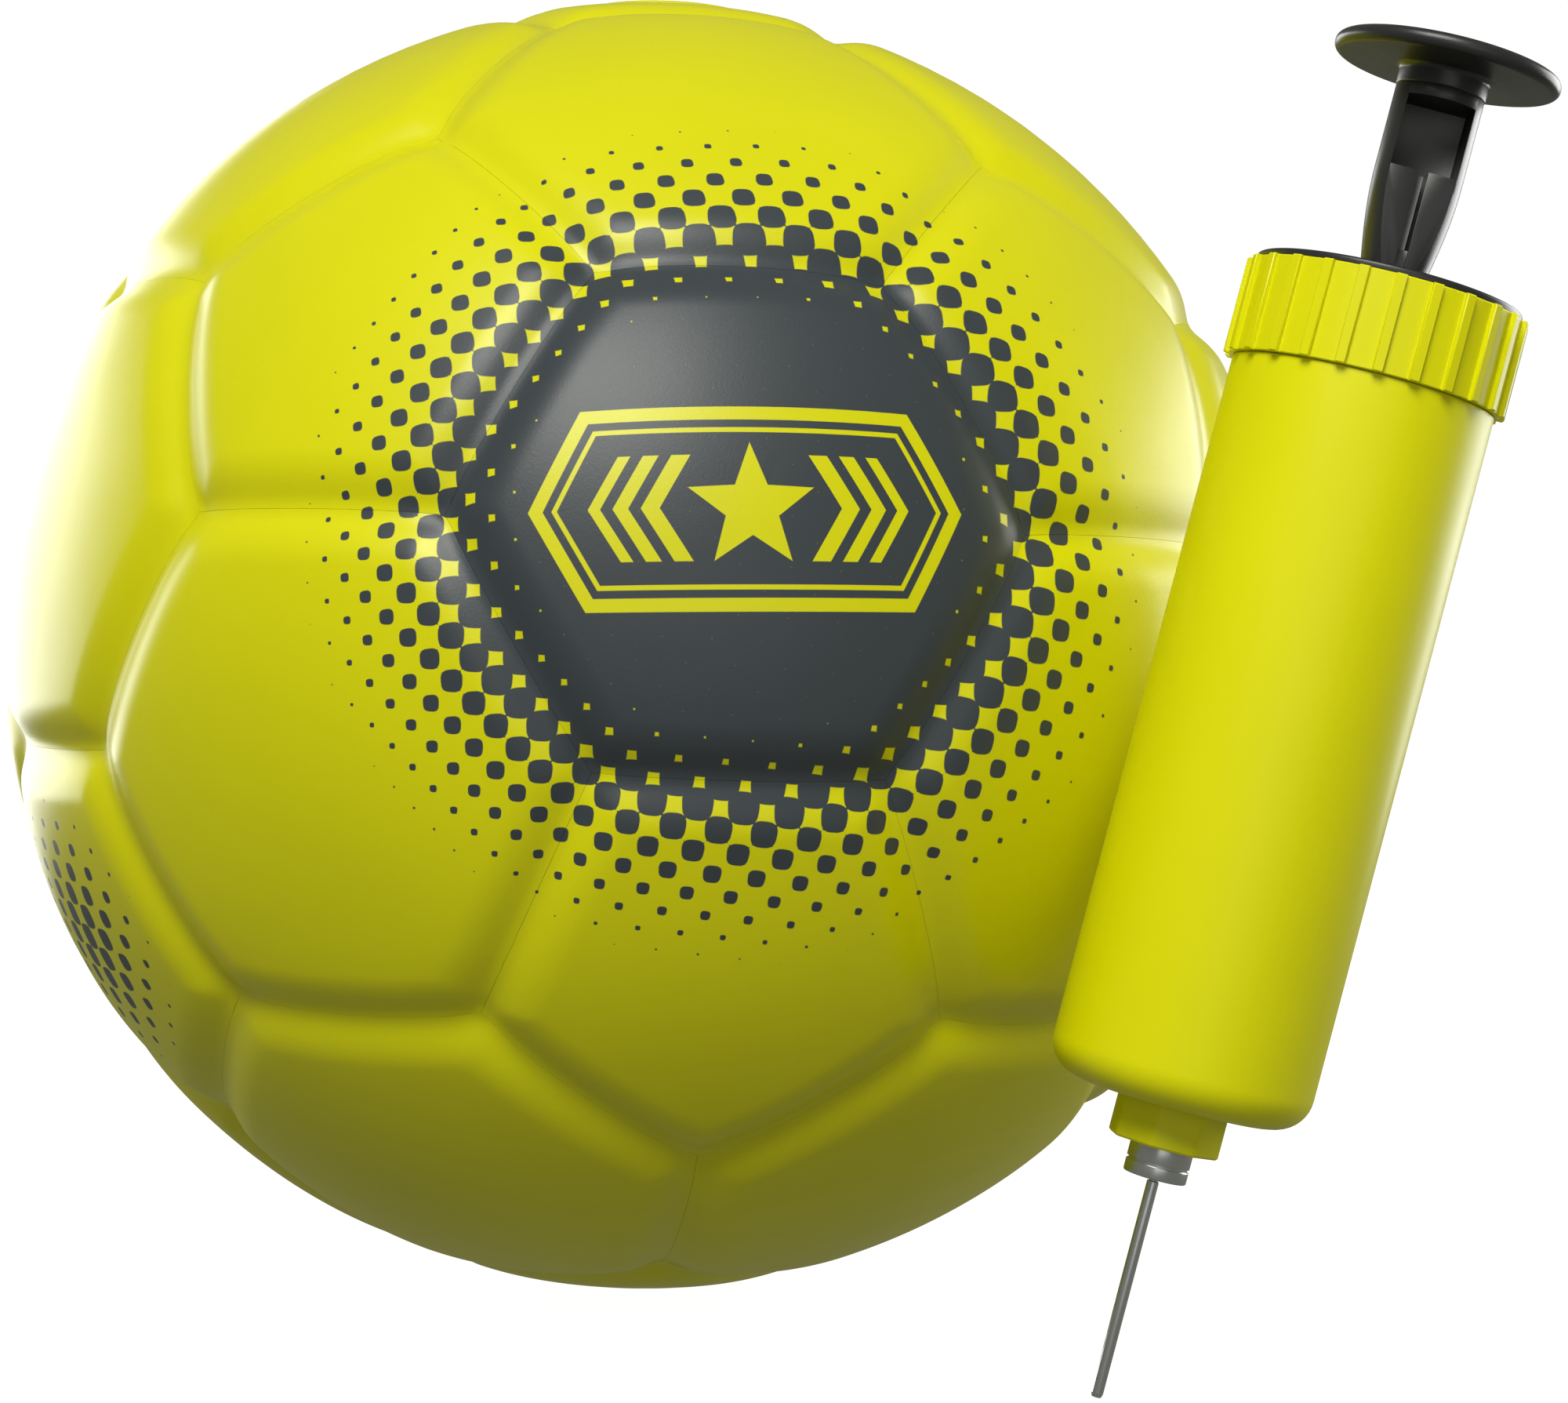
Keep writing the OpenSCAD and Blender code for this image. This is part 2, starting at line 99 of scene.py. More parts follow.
def panel_places():
    """Name of each panel: its number of sides and the turn from its own axes to the frame's."""
    ball = Matrix.Identity(3)
    for axis, degrees in BALL_TURN:
        ball = ball @ turn(axis, degrees)
    hex_rings = [
        (PENT_TO_HEX, 36, 180),
        (PENT_TO_HEX + HEX_TO_HEX, 36, 0),
        (180 - PENT_TO_HEX - HEX_TO_HEX, 0, 180),
        (180 - PENT_TO_HEX, 0, 0),
    ]
    pent_rings = [(PENT_TO_PENT, 0, 180), (180 - PENT_TO_PENT, 36, 0)]
    hexagons = [(p, a + 72 * k, t) for p, a, t in hex_rings for k in range(5)]
    pentagons = [(p, a + 72 * k, t) for p, a, t in pent_rings for k in range(5)]
    pentagons = [(0, 0, 0), *pentagons, (180, 216, 0)]
    places = {}
    for sides, word, found in ((6, "hexagon", hexagons), (5, "pentagon", pentagons)):
        for i, (polar, azimuth, spin) in enumerate(found):
            place = ball @ turn("Z", azimuth) @ turn("Y", polar) @ turn("Z", spin)
            places[f"{word}_panel_{i + 1:02d}"] = (sides, place)
    return places


PANELS = panel_places()


def panel_axis(name):
    return PANELS[name][1] @ UP


# ---------------------------------------------------------------- the pump's layout

MOUNTS = {m["name"]: m for m in frame["record"]["mounts"]}
PUMP_AXIS = Vector(MOUNTS["push_face"]["axis"])
NEEDLE_L = MOUNTS["needle"]["dims"]["length_mm"] * MM
TIP = Vector(MOUNTS["needle"]["pos_m"]) - PUMP_AXIS * NEEDLE_L / 2
LEAN_BACK = math.degrees(math.atan2(PUMP_AXIS.y, PUMP_AXIS.z))
LEAN_SIDE = math.degrees(math.asin(PUMP_AXIS.x))
PUMP = Matrix.Translation(TIP) @ (turn("X", -LEAN_BACK) @ turn("Y", LEAN_SIDE)).to_4x4()

# Heights along the pump's axis above the needle's tip, and radii, in millimetres
NEEDLE_R = 0.9
HUB_Z, HUB_TOP, HUB_R = 33.2, 38.0, 4.7
HUB_GROOVE_UP, HUB_GROOVE_W, HUB_GROOVE_IN, HUB_DISH_R = 1.9, 0.4, 0.3, 1.5
STUB_R, STUB_L, THREAD_PITCH, THREAD_DEPTH = 3.8, 6.5, 0.79, 0.45
TUBE_NECK_IN, TUBE_IN_HUB = 0.25, 1.5
NOZZLE_Z, NOZZLE_R, NOZZLE_TURN, SOCKET_R = 38.05, 7.8, 26.5, 3.95
NOZZLE_SIDES, NOZZLE_EASE, NOZZLE_TUCK = 8, 0.5, 0.06
BARREL_Z, BARREL_R, BARREL_IN_R, BARREL_ROUND, BARREL_FLOOR = 44.65, 19.5, 17.0, 5.4, 2.5
SHOULDER_Z, NECK_R, NECK_TOP = 152.65, 18.1, 163.15
COLLAR_Z, COLLAR_TOP, COLLAR_R, COLLAR_IN_R = 152.7, 166.9, 20.2, 18.4
RIBS, RIB_H, RIB_W, RIB_TURN, RIB_FOOT, RIB_EDGE = 24, 0.8, 1.5, -3.8, 0.08, 0.15
CAP_R, CAP_TOP, CAP_PLUG_Z, BUSH_R = 19.8, 168.1, 164.1, 7.5
STEM_Z, STEM_FOOT_R, STEM_R, TAPER_H = 168.3, 4.6, 6.55, 16.3
PEG_IN, PEG_H, STEM_EDGE = 1.02, 0.9, 0.18
DISC_Z, DISC_T, DISC_R, BOSS_H, BOSS_R = 199.9, 2.5, 16.8, 3.0, 6.65
WINDOW_W, WINDOW_H, WINDOW_BACK, STEM_FLAT = 10.0, 10.5, 3.4, -4.3
GROOVE_W, GROOVE_UP, GROOVE_BACK = 1.5, 4.6, -3.7


# ---------------------------------------------------------------- camera, lights and floor

LENS_MM = 82.17
CAMERA_FROM_BALL = Vector((0.21365, -5.6555, 0.11162)) * BALL_R
CAMERA_PITCH = -2


def add(name, data):
    made = bpy.data.objects.new(name, data)
    bpy.context.scene.collection.objects.link(made)
    return made


def make_camera():
    camera = add("camera", bpy.data.cameras.new("camera"))
    camera.data.lens = LENS_MM
    camera.data.clip_start = 0.01
    camera.location = CENTRE + CAMERA_FROM_BALL
    camera.rotation_euler = (math.radians(90 + CAMERA_PITCH), 0, 0)
    bpy.context.scene.camera = camera


def area_light(name, place, aim, size, watts, colour=(1, 1, 1)):
    """A soft rectangular light at place, facing aim, both measured from the ball's centre."""
    light = add(name, bpy.data.lights.new(name, "AREA"))
    light.data.shape = "RECTANGLE"
    light.data.size, light.data.size_y = size
    light.data.energy = watts
    light.data.color = colour
    light.location = CENTRE + Vector(place)
    light.rotation_euler = (Vector(aim) - Vector(place)).to_track_quat("-Z", "Y").to_euler()
    light.visible_camera = False


def make_world():
    world = bpy.data.worlds.new("studio")
    bpy.context.scene.world = world
    world.use_nodes = True
    tree = world.node_tree
    seen, lit = tree.nodes["Background"], tree.nodes.new("ShaderNodeBackground")
    seen.inputs["Color"].default_value = (1, 1, 1, 1)
    seen.inputs["Strength"].default_value = 1.0
    lit.inputs["Color"].default_value = (1, 1, 0.85, 1)
    lit.inputs["Strength"].default_value = 0.2
    path, mix = tree.nodes.new("ShaderNodeLightPath"), tree.nodes.new("ShaderNodeMixShader")
    tree.links.new(path.outputs["Is Camera Ray"], mix.inputs[0])
    tree.links.new(lit.outputs[0], mix.inputs[1])
    tree.links.new(seen.outputs[0], mix.inputs[2])
    tree.links.new(mix.outputs[0], tree.nodes["World Output"].inputs[0])


def make_floor():
    """A pale floor that curves up into a wall far behind."""
    half, bend, back, wall_top = 6.0, 1.5, 5.0, 5.0
    profile = [(-half, 0.0)] + [
        (back + bend * math.sin(a), bend * (1 - math.cos(a))) for a in np.linspace(0, math.pi / 2, 13)
    ] + [(back + bend, wall_top)]
    points = [(x, y, z) for y, z in profile for x in (-half, half)]
    faces = [(2 * i, 2 * i + 1, 2 * i + 3, 2 * i + 2) for i in range(len(profile) - 1)]
    mesh = bpy.data.meshes.new("floor")
    mesh.from_pydata(points, [], faces)
    mesh.shade_smooth()
    floor = add("floor", mesh)
    floor.data.materials.append(floor_material())
    floor.visible_diffuse = False
    floor.visible_glossy = False


def floor_material():
    material = bpy.data.materials.new("floor")
    material.use_nodes = True
    shader = material.node_tree.nodes["Principled BSDF"]
    shader.inputs["Base Color"].default_value = (0.25, 0.25, 0.25, 1)
    shader.inputs["Roughness"].default_value = 0.9
    shader.inputs["Specular IOR Level"].default_value = 0.0
    shader.inputs["Emission Color"].default_value = (1, 1, 1, 1)
    shader.inputs["Emission Strength"].default_value = 0.98
    return material


make_camera()
bpy.context.scene.view_settings.view_transform = "Standard"
make_world()
area_light(
    "key", place=(-0.16, -1.05, 1.07), aim=(0, 0, 0.08), size=(0.75, 0.75), watts=20.5, colour=(1, 1, 0.92)
)
area_light("left_wall", place=(-0.84, 0.95, 0.12), aim=(0, 0, 0.08), size=(1.35, 0.7), watts=15)
area_light("right_wall", place=(1.0, 0.55, 0.1), aim=(0, 0, 0), size=(0.8, 0.7), watts=10)
area_light("front_strip", place=(0.3, -1.7, 0.16), aim=(0.04, -0.09, 0.1), size=(1.2, 0.4), watts=1.5)
make_floor()


# ---------------------------------------------------------------- shader arithmetic

class Value:
    """A number in a shader tree. Arithmetic on it adds Math nodes."""

    def __init__(self, tree, socket):
        self.tree, self.socket = tree, socket

    def do(self, operation, *others, swap=False):
        node = self.tree.nodes.new("ShaderNodeMath")
        node.operation = operation
        terms = [self, *others]
        for slot, term in zip(node.inputs, reversed(terms) if swap else terms):
            if isinstance(term, Value):
                self.tree.links.new(term.socket, slot)
            else:
                slot.default_value = term
        return Value(self.tree, node.outputs[0])

    def __add__(self, other):
        return self.do("ADD", other)

    def __sub__(self, other):
        return self.do("SUBTRACT", other)

    def __rsub__(self, other):
        return self.do("SUBTRACT", other, swap=True)

    def __mul__(self, other):
        return self.do("MULTIPLY", other)

    def __rmul__(self, other):
        return self.do("MULTIPLY", other)

    def __truediv__(self, other):
        return self.do("DIVIDE", other)

    def __rtruediv__(self, other):
        return self.do("DIVIDE", other, swap=True)

    def __abs__(self):
        return self.do("ABSOLUTE")

    def __pow__(self, power):
        return self.do("POWER", power)

    def most(self, other):
        return self.do("MAXIMUM", other)

    def least(self, other):
        return self.do("MINIMUM", other)

    def clamp(self):
        return self.most(0.0).least(1.0)

    def below(self, limit, soft):
        """1 where the number is below the limit and 0 above it, with an edge that is soft wide."""
        return ((limit - self) / soft + 0.5).clamp()

    def between(self, low, high, soft):
        return self.below(high, soft) - self.below(low, soft)


def object_point(tree, centre=(0, 0, 0)):
    """The surface point from centre, in the frame's axes."""
    where = tree.nodes.new("ShaderNodeTexCoord")
    away = tree.nodes.new("ShaderNodeVectorMath")
    away.operation = "SUBTRACT"
    away.inputs[1].default_value = centre
    tree.links.new(where.outputs["Object"], away.inputs[0])
    return away.outputs[0]


def along(tree, vector, axis):
    """The vector's dot product with the axis: how far it reaches along an axis of unit length."""
    dot = tree.nodes.new("ShaderNodeVectorMath")
    dot.operation = "DOT_PRODUCT"
    dot.inputs[1].default_value = axis
    tree.links.new(vector, dot.inputs[0])
    return Value(tree, dot.outputs["Value"])


def noise(tree, vector, scale, detail=3.0, stretch=(1, 1, 1)):
    mapping = tree.nodes.new("ShaderNodeMapping")
    mapping.inputs["Scale"].default_value = stretch
    tree.links.new(vector, mapping.inputs["Vector"])
    texture = tree.nodes.new("ShaderNodeTexNoise")
    texture.inputs["Scale"].default_value = scale
    texture.inputs["Detail"].default_value = detail
    tree.links.new(mapping.outputs[0], texture.inputs["Vector"])
    return Value(tree, texture.outputs[0])


def mix_colours(tree, share, first, second):
    """first where share is 0 and second where it is 1; each is a colour or a socket."""
    mix = tree.nodes.new("ShaderNodeMix")
    mix.data_type = "RGBA"
    tree.links.new(share.socket, mix.inputs["Factor"])
    for slot, colour in ((mix.inputs[6], first), (mix.inputs[7], second)):
        if isinstance(colour, tuple):
            slot.default_value = (*colour, 1)
        else:
            tree.links.new(colour, slot)
    return mix.outputs[2]


def bump(tree, shader, height, distance, strength=1.0):
    node = tree.nodes.new("ShaderNodeBump")
    node.inputs["Strength"].default_value = strength
    node.inputs["Distance"].default_value = distance
    tree.links.new(height.socket, node.inputs["Height"])
    tree.links.new(node.outputs[0], shader.inputs["Normal"])


def new_material(name):
    material = bpy.data.materials.new(name)
    material.use_nodes = True
    return material, material.node_tree, material.node_tree.nodes["Principled BSDF"]


# ---------------------------------------------------------------- the cover's print

LIME = (0.71, 0.69, 0.0)
LIME_WORN = (0.66, 0.645, 0.0)
SLATE = (0.042, 0.051, 0.062)

# The halftone's rows and columns, on a stereographic map about a point up and to the right of the print
LATTICE_AXIS = Vector((0.448, -0.782, 0.433)).normalized()
LATTICE_TURN = -8.8
LATTICE_PITCH = 0.0356
SOLID_OUT_TO = 17.0
DOTS_OUT_TO = 35.9
PATCH_OUT_TO = 13.4
PATCH_BIGGEST = 0.62

# The badge, in millimetres before BADGE_SIZE scales it. BADGE_SLANT is the cosine of its slanted ends' lean.
BADGE_SIZE = 0.91
BADGE_HALF_W, BADGE_HALF_H, BADGE_SLOPE, BADGE_SLANT = 36.0, 16.5, 0.55, 0.876
BADGE_FRAME = ((-2.2, 0.0), (-4.3, -3.5))
BADGE_CHEVRONS = ((14.5, 17.5), (19.5, 22.0), (24.0, 26.0))
CHEVRON_SLOPE, CHEVRON_HALF_H = 0.6, 8.5
STAR_REACH, STAR_WAIST = 10.5, 0.42
BADGE_EDGE = 0.12


def axes_at(direction):
    """Right, up and outward axes on the ball's surface there, with up as near to the frame's as it can be."""
    outward = direction.normalized()
    right = UP.cross(outward).normalized()
    return right, outward.cross(right), outward


def angle_from(tree, direction, axis):
    """Degrees between the surface direction and the axis."""
    return along(tree, direction, axis).do("ARCCOSINE") * math.degrees(1)


def halftone(tree, direction, axis, lattice_turn, size):
    """Ink on a checked lattice: size is a dot's half width in cells, so 0.5 makes an even check."""
    right, up, outward = axes_at(axis)
    scale = 2.0 / LATTICE_PITCH / (along(tree, direction, outward) + 1.0)
    x, y = along(tree, direction, right) * scale, along(tree, direction, up) * scale
    c, s = math.cos(math.radians(lattice_turn)), math.sin(math.radians(lattice_turn))
    u, v = x * c + y * s, y * c - x * s
    a, b = (u + v) * 0.5, (u - v) * 0.5
    a, b = a - a.do("ROUND"), b - b.do("ROUND")
    across, down = abs(a + b), abs(a - b)
    rounded_dot = (across ** 3.0 + down ** 3.0) ** (1 / 3)
    square_dot = across.most(down) + 0.08
    return rounded_dot.least(square_dot).below(size, 0.04)


def badge(tree, direction, centre):
    """Where the badge leaves the cover bare: a long six-sided frame with a star and three chevrons a side."""
    right, up, outward = axes_at(centre)
    per_mm = BALL_R / MM / BADGE_SIZE / along(tree, direction, outward)
    x, y = along(tree, direction, right) * per_mm, along(tree, direction, up) * per_mm
    wide, high = abs(x), abs(y)
    past_frame = (high - BADGE_HALF_H).most((wide + high * BADGE_SLOPE - BADGE_HALF_W) * BADGE_SLANT)
    lines = stripes(past_frame, BADGE_FRAME)
    chevrons = stripes(wide + high * CHEVRON_SLOPE, BADGE_CHEVRONS) * high.below(CHEVRON_HALF_H, BADGE_EDGE)
    return (lines + chevrons + star(x, y)).clamp() * outward_side(tree, direction, centre)


def stripes(value, limits):
    """1 where the value lies inside one of the (low, high) limits."""
    total = value.between(*limits[0], BADGE_EDGE)
    for low, high in limits[1:]:
        total = total + value.between(low, high, BADGE_EDGE)
    return total


def star(x, y):
    """1 inside a five-pointed star that stands on two of its points."""
    sector = math.radians(72)
    bearing = x.do("ARCTAN2", y) / sector
    off = abs(bearing - bearing.do("ROUND")) * sector
    r = (x * x + y * y) ** 0.5
    inner = STAR_REACH * STAR_WAIST
    nx, ny = inner * math.sin(sector / 2), STAR_REACH - inner * math.cos(sector / 2)
    length = math.hypot(nx, ny)
    past_edge = (r * off.do("COSINE") * nx + r * off.do("SINE") * ny) / length
    return past_edge.below(nx * STAR_REACH / length, BADGE_EDGE)


def outward_side(tree, direction, centre):
    """1 on the half of the ball that faces the centre's way, and 0 on the other."""
    return along(tree, direction, centre).below(0.0, 0.01) * -1.0 + 1.0


def print_material(name, centre, lattice_axis, lattice_turn):
    """The big print round one hexagon: solid ink, then a check, then dots that shrink to nothing."""
    def ink(tree, direction):
        angle = angle_from(tree, direction, centre)
        share = ((angle - SOLID_OUT_TO) / (DOTS_OUT_TO - SOLID_OUT_TO)).clamp()
        dots = halftone(tree, direction, lattice_axis, lattice_turn, 1.0 - share)
        return dots * (1.0 - badge(tree, direction, centre))
    return cover_material(name, ink)


def patch_material(name, centre):
    """A disc of dots in the middle of a pentagon, biggest at its centre."""
    def ink(tree, direction):
        share = (angle_from(tree, direction, centre) / PATCH_OUT_TO).clamp()
        return halftone(tree, direction, centre, 0.0, PATCH_BIGGEST * (1.0 - share ** 1.6) - 0.02)
    return cover_material(name, ink)


def cover_material(name, ink=None):
    """Soft lime cover with a fine grain, and ink where ink(tree, direction) is 1."""
    material, tree, shader = new_material(name)
    point = object_point(tree, CENTRE)
    unit = tree.nodes.new("ShaderNodeVectorMath")
    unit.operation = "NORMALIZE"
    tree.links.new(point, unit.inputs[0])
    cloud = noise(tree, point, 22, 4)
    grain = noise(tree, point, 2600, 2)
    colour = mix_colours(tree, (cloud * 2.4 - 0.7).clamp(), LIME, LIME_WORN)
    roughness = cloud * 0.08 + grain * 0.05 + 0.27
    if ink:
        covered = ink(tree, unit.outputs[0])
        colour = mix_colours(tree, covered, colour, SLATE)
        roughness = roughness + covered * 0.04
    tree.links.new(colour, shader.inputs["Base Color"])
    tree.links.new(roughness.socket, shader.inputs["Roughness"])
    shader.inputs["Specular IOR Level"].default_value = 0.38
    bump(tree, shader, grain, 0.03 * MM, 0.5)
    return material


# ---------------------------------------------------------------- the cover's panels

# SEGMENTS is the count of steps along one side of a panel, and the rounds are shares of the valley's width
SEGMENTS = 28
BOTTOM_ROUND = 0.34
CREST_ROUND = 0.42


def valley(distance):
    """Share of the valley's depth at a distance from its bottom, in widths of the valley.

    Its side is straight, and rounded at both ends.
    """
    straight = 1 - distance
    bottom = 1 - BOTTOM_ROUND / 2 - distance ** 2 / (2 * BOTTOM_ROUND)
    crest = (1 + CREST_ROUND - distance) ** 2 / (4 * CREST_ROUND)
    near = np.where(distance < BOTTOM_ROUND, bottom, straight)
    return np.where(distance < 1 - CREST_ROUND, near, np.where(distance < 1 + CREST_ROUND, crest, 0.0))


def panel_radius(directions, sides, edge_angle, first_edge, hole_r):
    """Distance of the cover's face from the ball's centre in each direction, in the panel's own axes."""
    total = np.zeros(len(directions))
    for k in range(sides):
        bearing = first_edge + 2 * math.pi * k / sides
        inward = np.array([
            -math.cos(edge_angle) * math.cos(bearing),
            -math.cos(edge_angle) * math.sin(bearing),
            math.sin(edge_angle),
        ])
        distance = np.arcsin(np.clip(directions @ inward, -1, 1)) * BALL_R
        total += valley(np.maximum(distance, 0) / VALLEY_W) ** 3
    drop = VALLEY_DEPTH * np.minimum(total ** (1 / 3), 1.0)
    corner_angle = math.atan(math.tan(edge_angle) / math.cos(math.pi / sides))
    for k in range(sides):
        bearing = first_edge + math.pi * (2 * k + 1) / sides
        corner = np.array([
            math.sin(corner_angle) * math.cos(bearing),
            math.sin(corner_angle) * math.sin(bearing),
            math.cos(corner_angle),
        ])
        away = np.arccos(np.clip(directions @ corner, -1, 1)) * BALL_R
        drop += CORNER_DIP * np.exp(-(away / CORNER_DIP_W) ** 2)
    if hole_r:
        away = np.arccos(np.clip(directions[:, 2], -1, 1)) * BALL_R - hole_r
        drop += HOLE_DIP * valley(np.maximum(away, 0) / HOLE_DIP_W)
    return BALL_R - drop


def panel_mesh(name, sides, place, hole_r=0.0):
    """A closed shell: crowned face, rounded edges, side walls and the inner face that lies on the carcass."""
    edge_angle = math.radians(HEX_EDGE if sides == 6 else PENT_EDGE)
    first_edge = 0.0 if sides == 6 else math.pi / 5
    apothem = math.tan(edge_angle - PANEL_GAP / 2 / BALL_R)
    outline = []
    for k in range(sides):
        bearings = [first_edge + math.pi * (2 * k + n) / sides for n in (1, 3)]
        ends = [
            apothem / math.cos(math.pi / sides) * np.array([math.cos(b), math.sin(b)]) for b in bearings
        ]
        outline += [ends[0] + (ends[1] - ends[0]) * s for s in eased(SEGMENTS)]
    outline = np.array(outline)
    middle = outline / np.linalg.norm(outline, axis=1)[:, None] * math.tan(hole_r / BALL_R)
    outer_steps = np.concatenate([np.linspace(0, 0.66, 7), np.linspace(0.69, 1, 24)])
    inner_steps = [1.0, 0.6, 0.3] + ([0.0] if hole_r else [])
    if not hole_r:
        outer_steps = outer_steps[1:]

    rings = [on_sphere(middle + (outline - middle) * t) for t in outer_steps]
    radii = [panel_radius(ring, sides, edge_angle, first_edge, hole_r) for ring in rings]
    rings += [on_sphere(middle + (outline - middle) * t) for t in inner_steps]
    radii += [np.full(len(outline), BALL_R - COVER_T)] * len(inner_steps)
    points = np.concatenate([ring * radius[:, None] for ring, radius in zip(rings, radii)])
    count = len(outline)
    faces = bands(len(rings), count)
    last = (len(rings) - 1) * count
    if hole_r:
        faces += [(i, (i + 1) % count, last + (i + 1) % count, last + i) for i in range(count)]
    else:
        points = np.concatenate([points, [[0, 0, BALL_R], [0, 0, BALL_R - COVER_T]]])
        crown, base = len(points) - 2, len(points) - 1
        faces += [(crown, i, (i + 1) % count) for i in range(count)]
        faces += [(base, last + (i + 1) % count, last + i) for i in range(count)]
    return shape(name, points @ np.array(place).T + np.array(CENTRE), faces, sharp=50)


def eased(count):
    """Steps from 0 up to but not including 1, closer together near both ends."""
    return [(1 - math.cos(math.pi * i / count)) / 2 * 0.6 + i / count * 0.4 for i in range(count)]


def on_sphere(flat):
    """Unit directions through points of the plane that touches the unit ball at its top."""
    solid = np.column_stack([flat, np.ones(len(flat))])
    return solid / np.linalg.norm(solid, axis=1)[:, None]


def bands(rings, count):
    """Faces between neighbouring rings of count points."""
    return [
        (j * count + i, (j + 1) * count + i, (j + 1) * count + (i + 1) % count, j * count + (i + 1) % count)
        for j in range(rings - 1) for i in range(count)
    ]


def shape(name, points, faces, sharp=35, matrix=None):
    """A smooth mesh object with sharp edges above the given angle, its normals outward."""
    mesh = bpy.data.meshes.new(name)
    mesh.from_pydata([tuple(p) for p in points], [], faces)
    if matrix is not None:
        mesh.transform(matrix)
    mesh.validate()
    made = add(name, mesh)
    face_outward(mesh)
    mesh.shade_smooth()
    mesh.set_sharp_from_angle(angle=math.radians(sharp))
    return made


def face_outward(mesh):
    work = bmesh.new()
    work.from_mesh(mesh)
    bmesh.ops.recalc_face_normals(work, faces=work.faces)
    work.to_mesh(mesh)
    work.free()


def dress(piece, material, body, slot, *nodes):
    """Gives a piece its material and its CAD body, and hides the CAD nodes that it stands for. The slot
    argument is not used.
    """
    piece.data.materials.append(material)
    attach(piece, body)
    if nodes:
        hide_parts(*nodes)


def neighbours(name, within=45):
    """The panel and those that touch it."""
    centre = panel_axis(name)
    return [n for n in PANELS if math.degrees(panel_axis(n).angle(centre, 0)) < within]


def mirrored_axis(centre, back_centre):
    """The back print's lattice point, which lies from its hexagon as the front's does from the front one."""
    place, back = Matrix(axes_at(centre)), Matrix(axes_at(back_centre))
    return back.transposed() @ (place @ LATTICE_AXIS)


def make_cover():
    front, back = panel_axis(FRONT_HEX), panel_axis(BACK_HEX)
    front_print = print_material("cover_front_print", front, LATTICE_AXIS, LATTICE_TURN)
    back_print = print_material("cover_back_print", back, mirrored_axis(front, back), LATTICE_TURN)
    plain = cover_material("cover_plain")
    holes = {VALVE_HEX: VALVE_HOLE_R, HITCH_PENT: HITCH_HOLE_R}
    front_group, back_group = neighbours(FRONT_HEX), neighbours(BACK_HEX)
    for name, (sides, place) in PANELS.items():
        piece = panel_mesh("cover_" + name, sides, place, holes.get(name, 0.0))
        if name in front_group:
            material = front_print
        elif name in back_group:
            material = back_print
        elif sides == 5 and name != HITCH_PENT:
            material = patch_material("cover_patch_" + name[-2:], panel_axis(name))
        else:
            material = plain
        dress(piece, material, "ball", "cover", name)


make_cover()


# ---------------------------------------------------------------- lathe-turned pieces

def rounded(corners, steps=6):
    """A profile from corners (radius, height, rounding), in millimetres. Its two ends stay sharp."""
    found = []
    for i, (r, z, rounding) in enumerate(corners):
        here = Vector((r, z))
        if not rounding or i in (0, len(corners) - 1):
            found.append(here)
            continue
        before = (Vector(corners[i - 1][:2]) - here).normalized()
        after = (Vector(corners[i + 1][:2]) - here).normalized()
        half = before.angle(after) / 2
        middle = here + (before + after).normalized() * (rounding / math.sin(half))
        start, end = (here + side * (rounding / math.tan(half)) - middle for side in (before, after))
        sweep = start.angle_signed(end)
        found += [middle + Matrix.Rotation(-sweep * k / steps, 2) @ start for k in range(steps + 1)]
    return found


def lathe(name, profile, matrix, segments=96, closed=False):
    """Turns a profile about the Z axis. A profile that isn't closed starts and ends on the axis."""
    points, rings = [], []
    for r, z in profile:
        if r < 1e-6:
            rings.append([len(points)])
            points.append((0, 0, z * MM))
        else:
            rings.append(list(range(len(points), len(points) + segments)))
            bearings = [2 * math.pi * i / segments for i in range(segments)]
            points += [(r * MM * math.cos(b), r * MM * math.sin(b), z * MM) for b in bearings]
    faces = []
    pairs = list(zip(rings, rings[1:])) + ([(rings[-1], rings[0])] if closed else [])
    for low, high in pairs:
        for i in range(segments):
            j = i + 1
            corners = [low[i % len(low)], low[j % len(low)], high[j % len(high)], high[i % len(high)]]
            faces.append(tuple(dict.fromkeys(corners)))
    return shape(name, points, faces, matrix=matrix)


def prism_ring(name, outer, inner_r, levels, matrix):
    """A ring whose outline is outer(inset). levels are its (height, inset) pairs from the bottom up."""
    outlines = [[(x * MM, y * MM, z * MM) for x, y in outer(inset)] for z, inset in levels]
    count = len(outlines[0])
    for z in (levels[-1][0], levels[0][0]):
        outlines.append([
            (inner_r * MM * x / math.hypot(x, y), inner_r * MM * y / math.hypot(x, y), z * MM)
            for x, y in outer(0)
        ])
    faces = bands(len(outlines), count)
    last = (len(outlines) - 1) * count
    faces += [(last + i, i, (i + 1) % count, last + (i + 1) % count) for i in range(count)]
    return shape(name, [p for outline in outlines for p in outline], faces, matrix=matrix)


# ---------------------------------------------------------------- the pump's materials

STEEL_DARK, STEEL_PALE = (0.56, 0.58, 0.60), (0.62, 0.64, 0.66)
TURNING_DEPTH, TURNING_LINES = 0.0003 * MM, 6000
THREAD_DARK, THREAD_PALE = (0.42, 0.39, 0.30), (0.74, 0.71, 0.62)
THREAD_AXES = ((1, 0.2, 0.1), (0.1, 1, 0.3), (0.6, -0.5, 1))
THREAD_WAVE = 5200.0  # radians to a metre


def pump_point(tree):
    return object_point(tree, TIP)


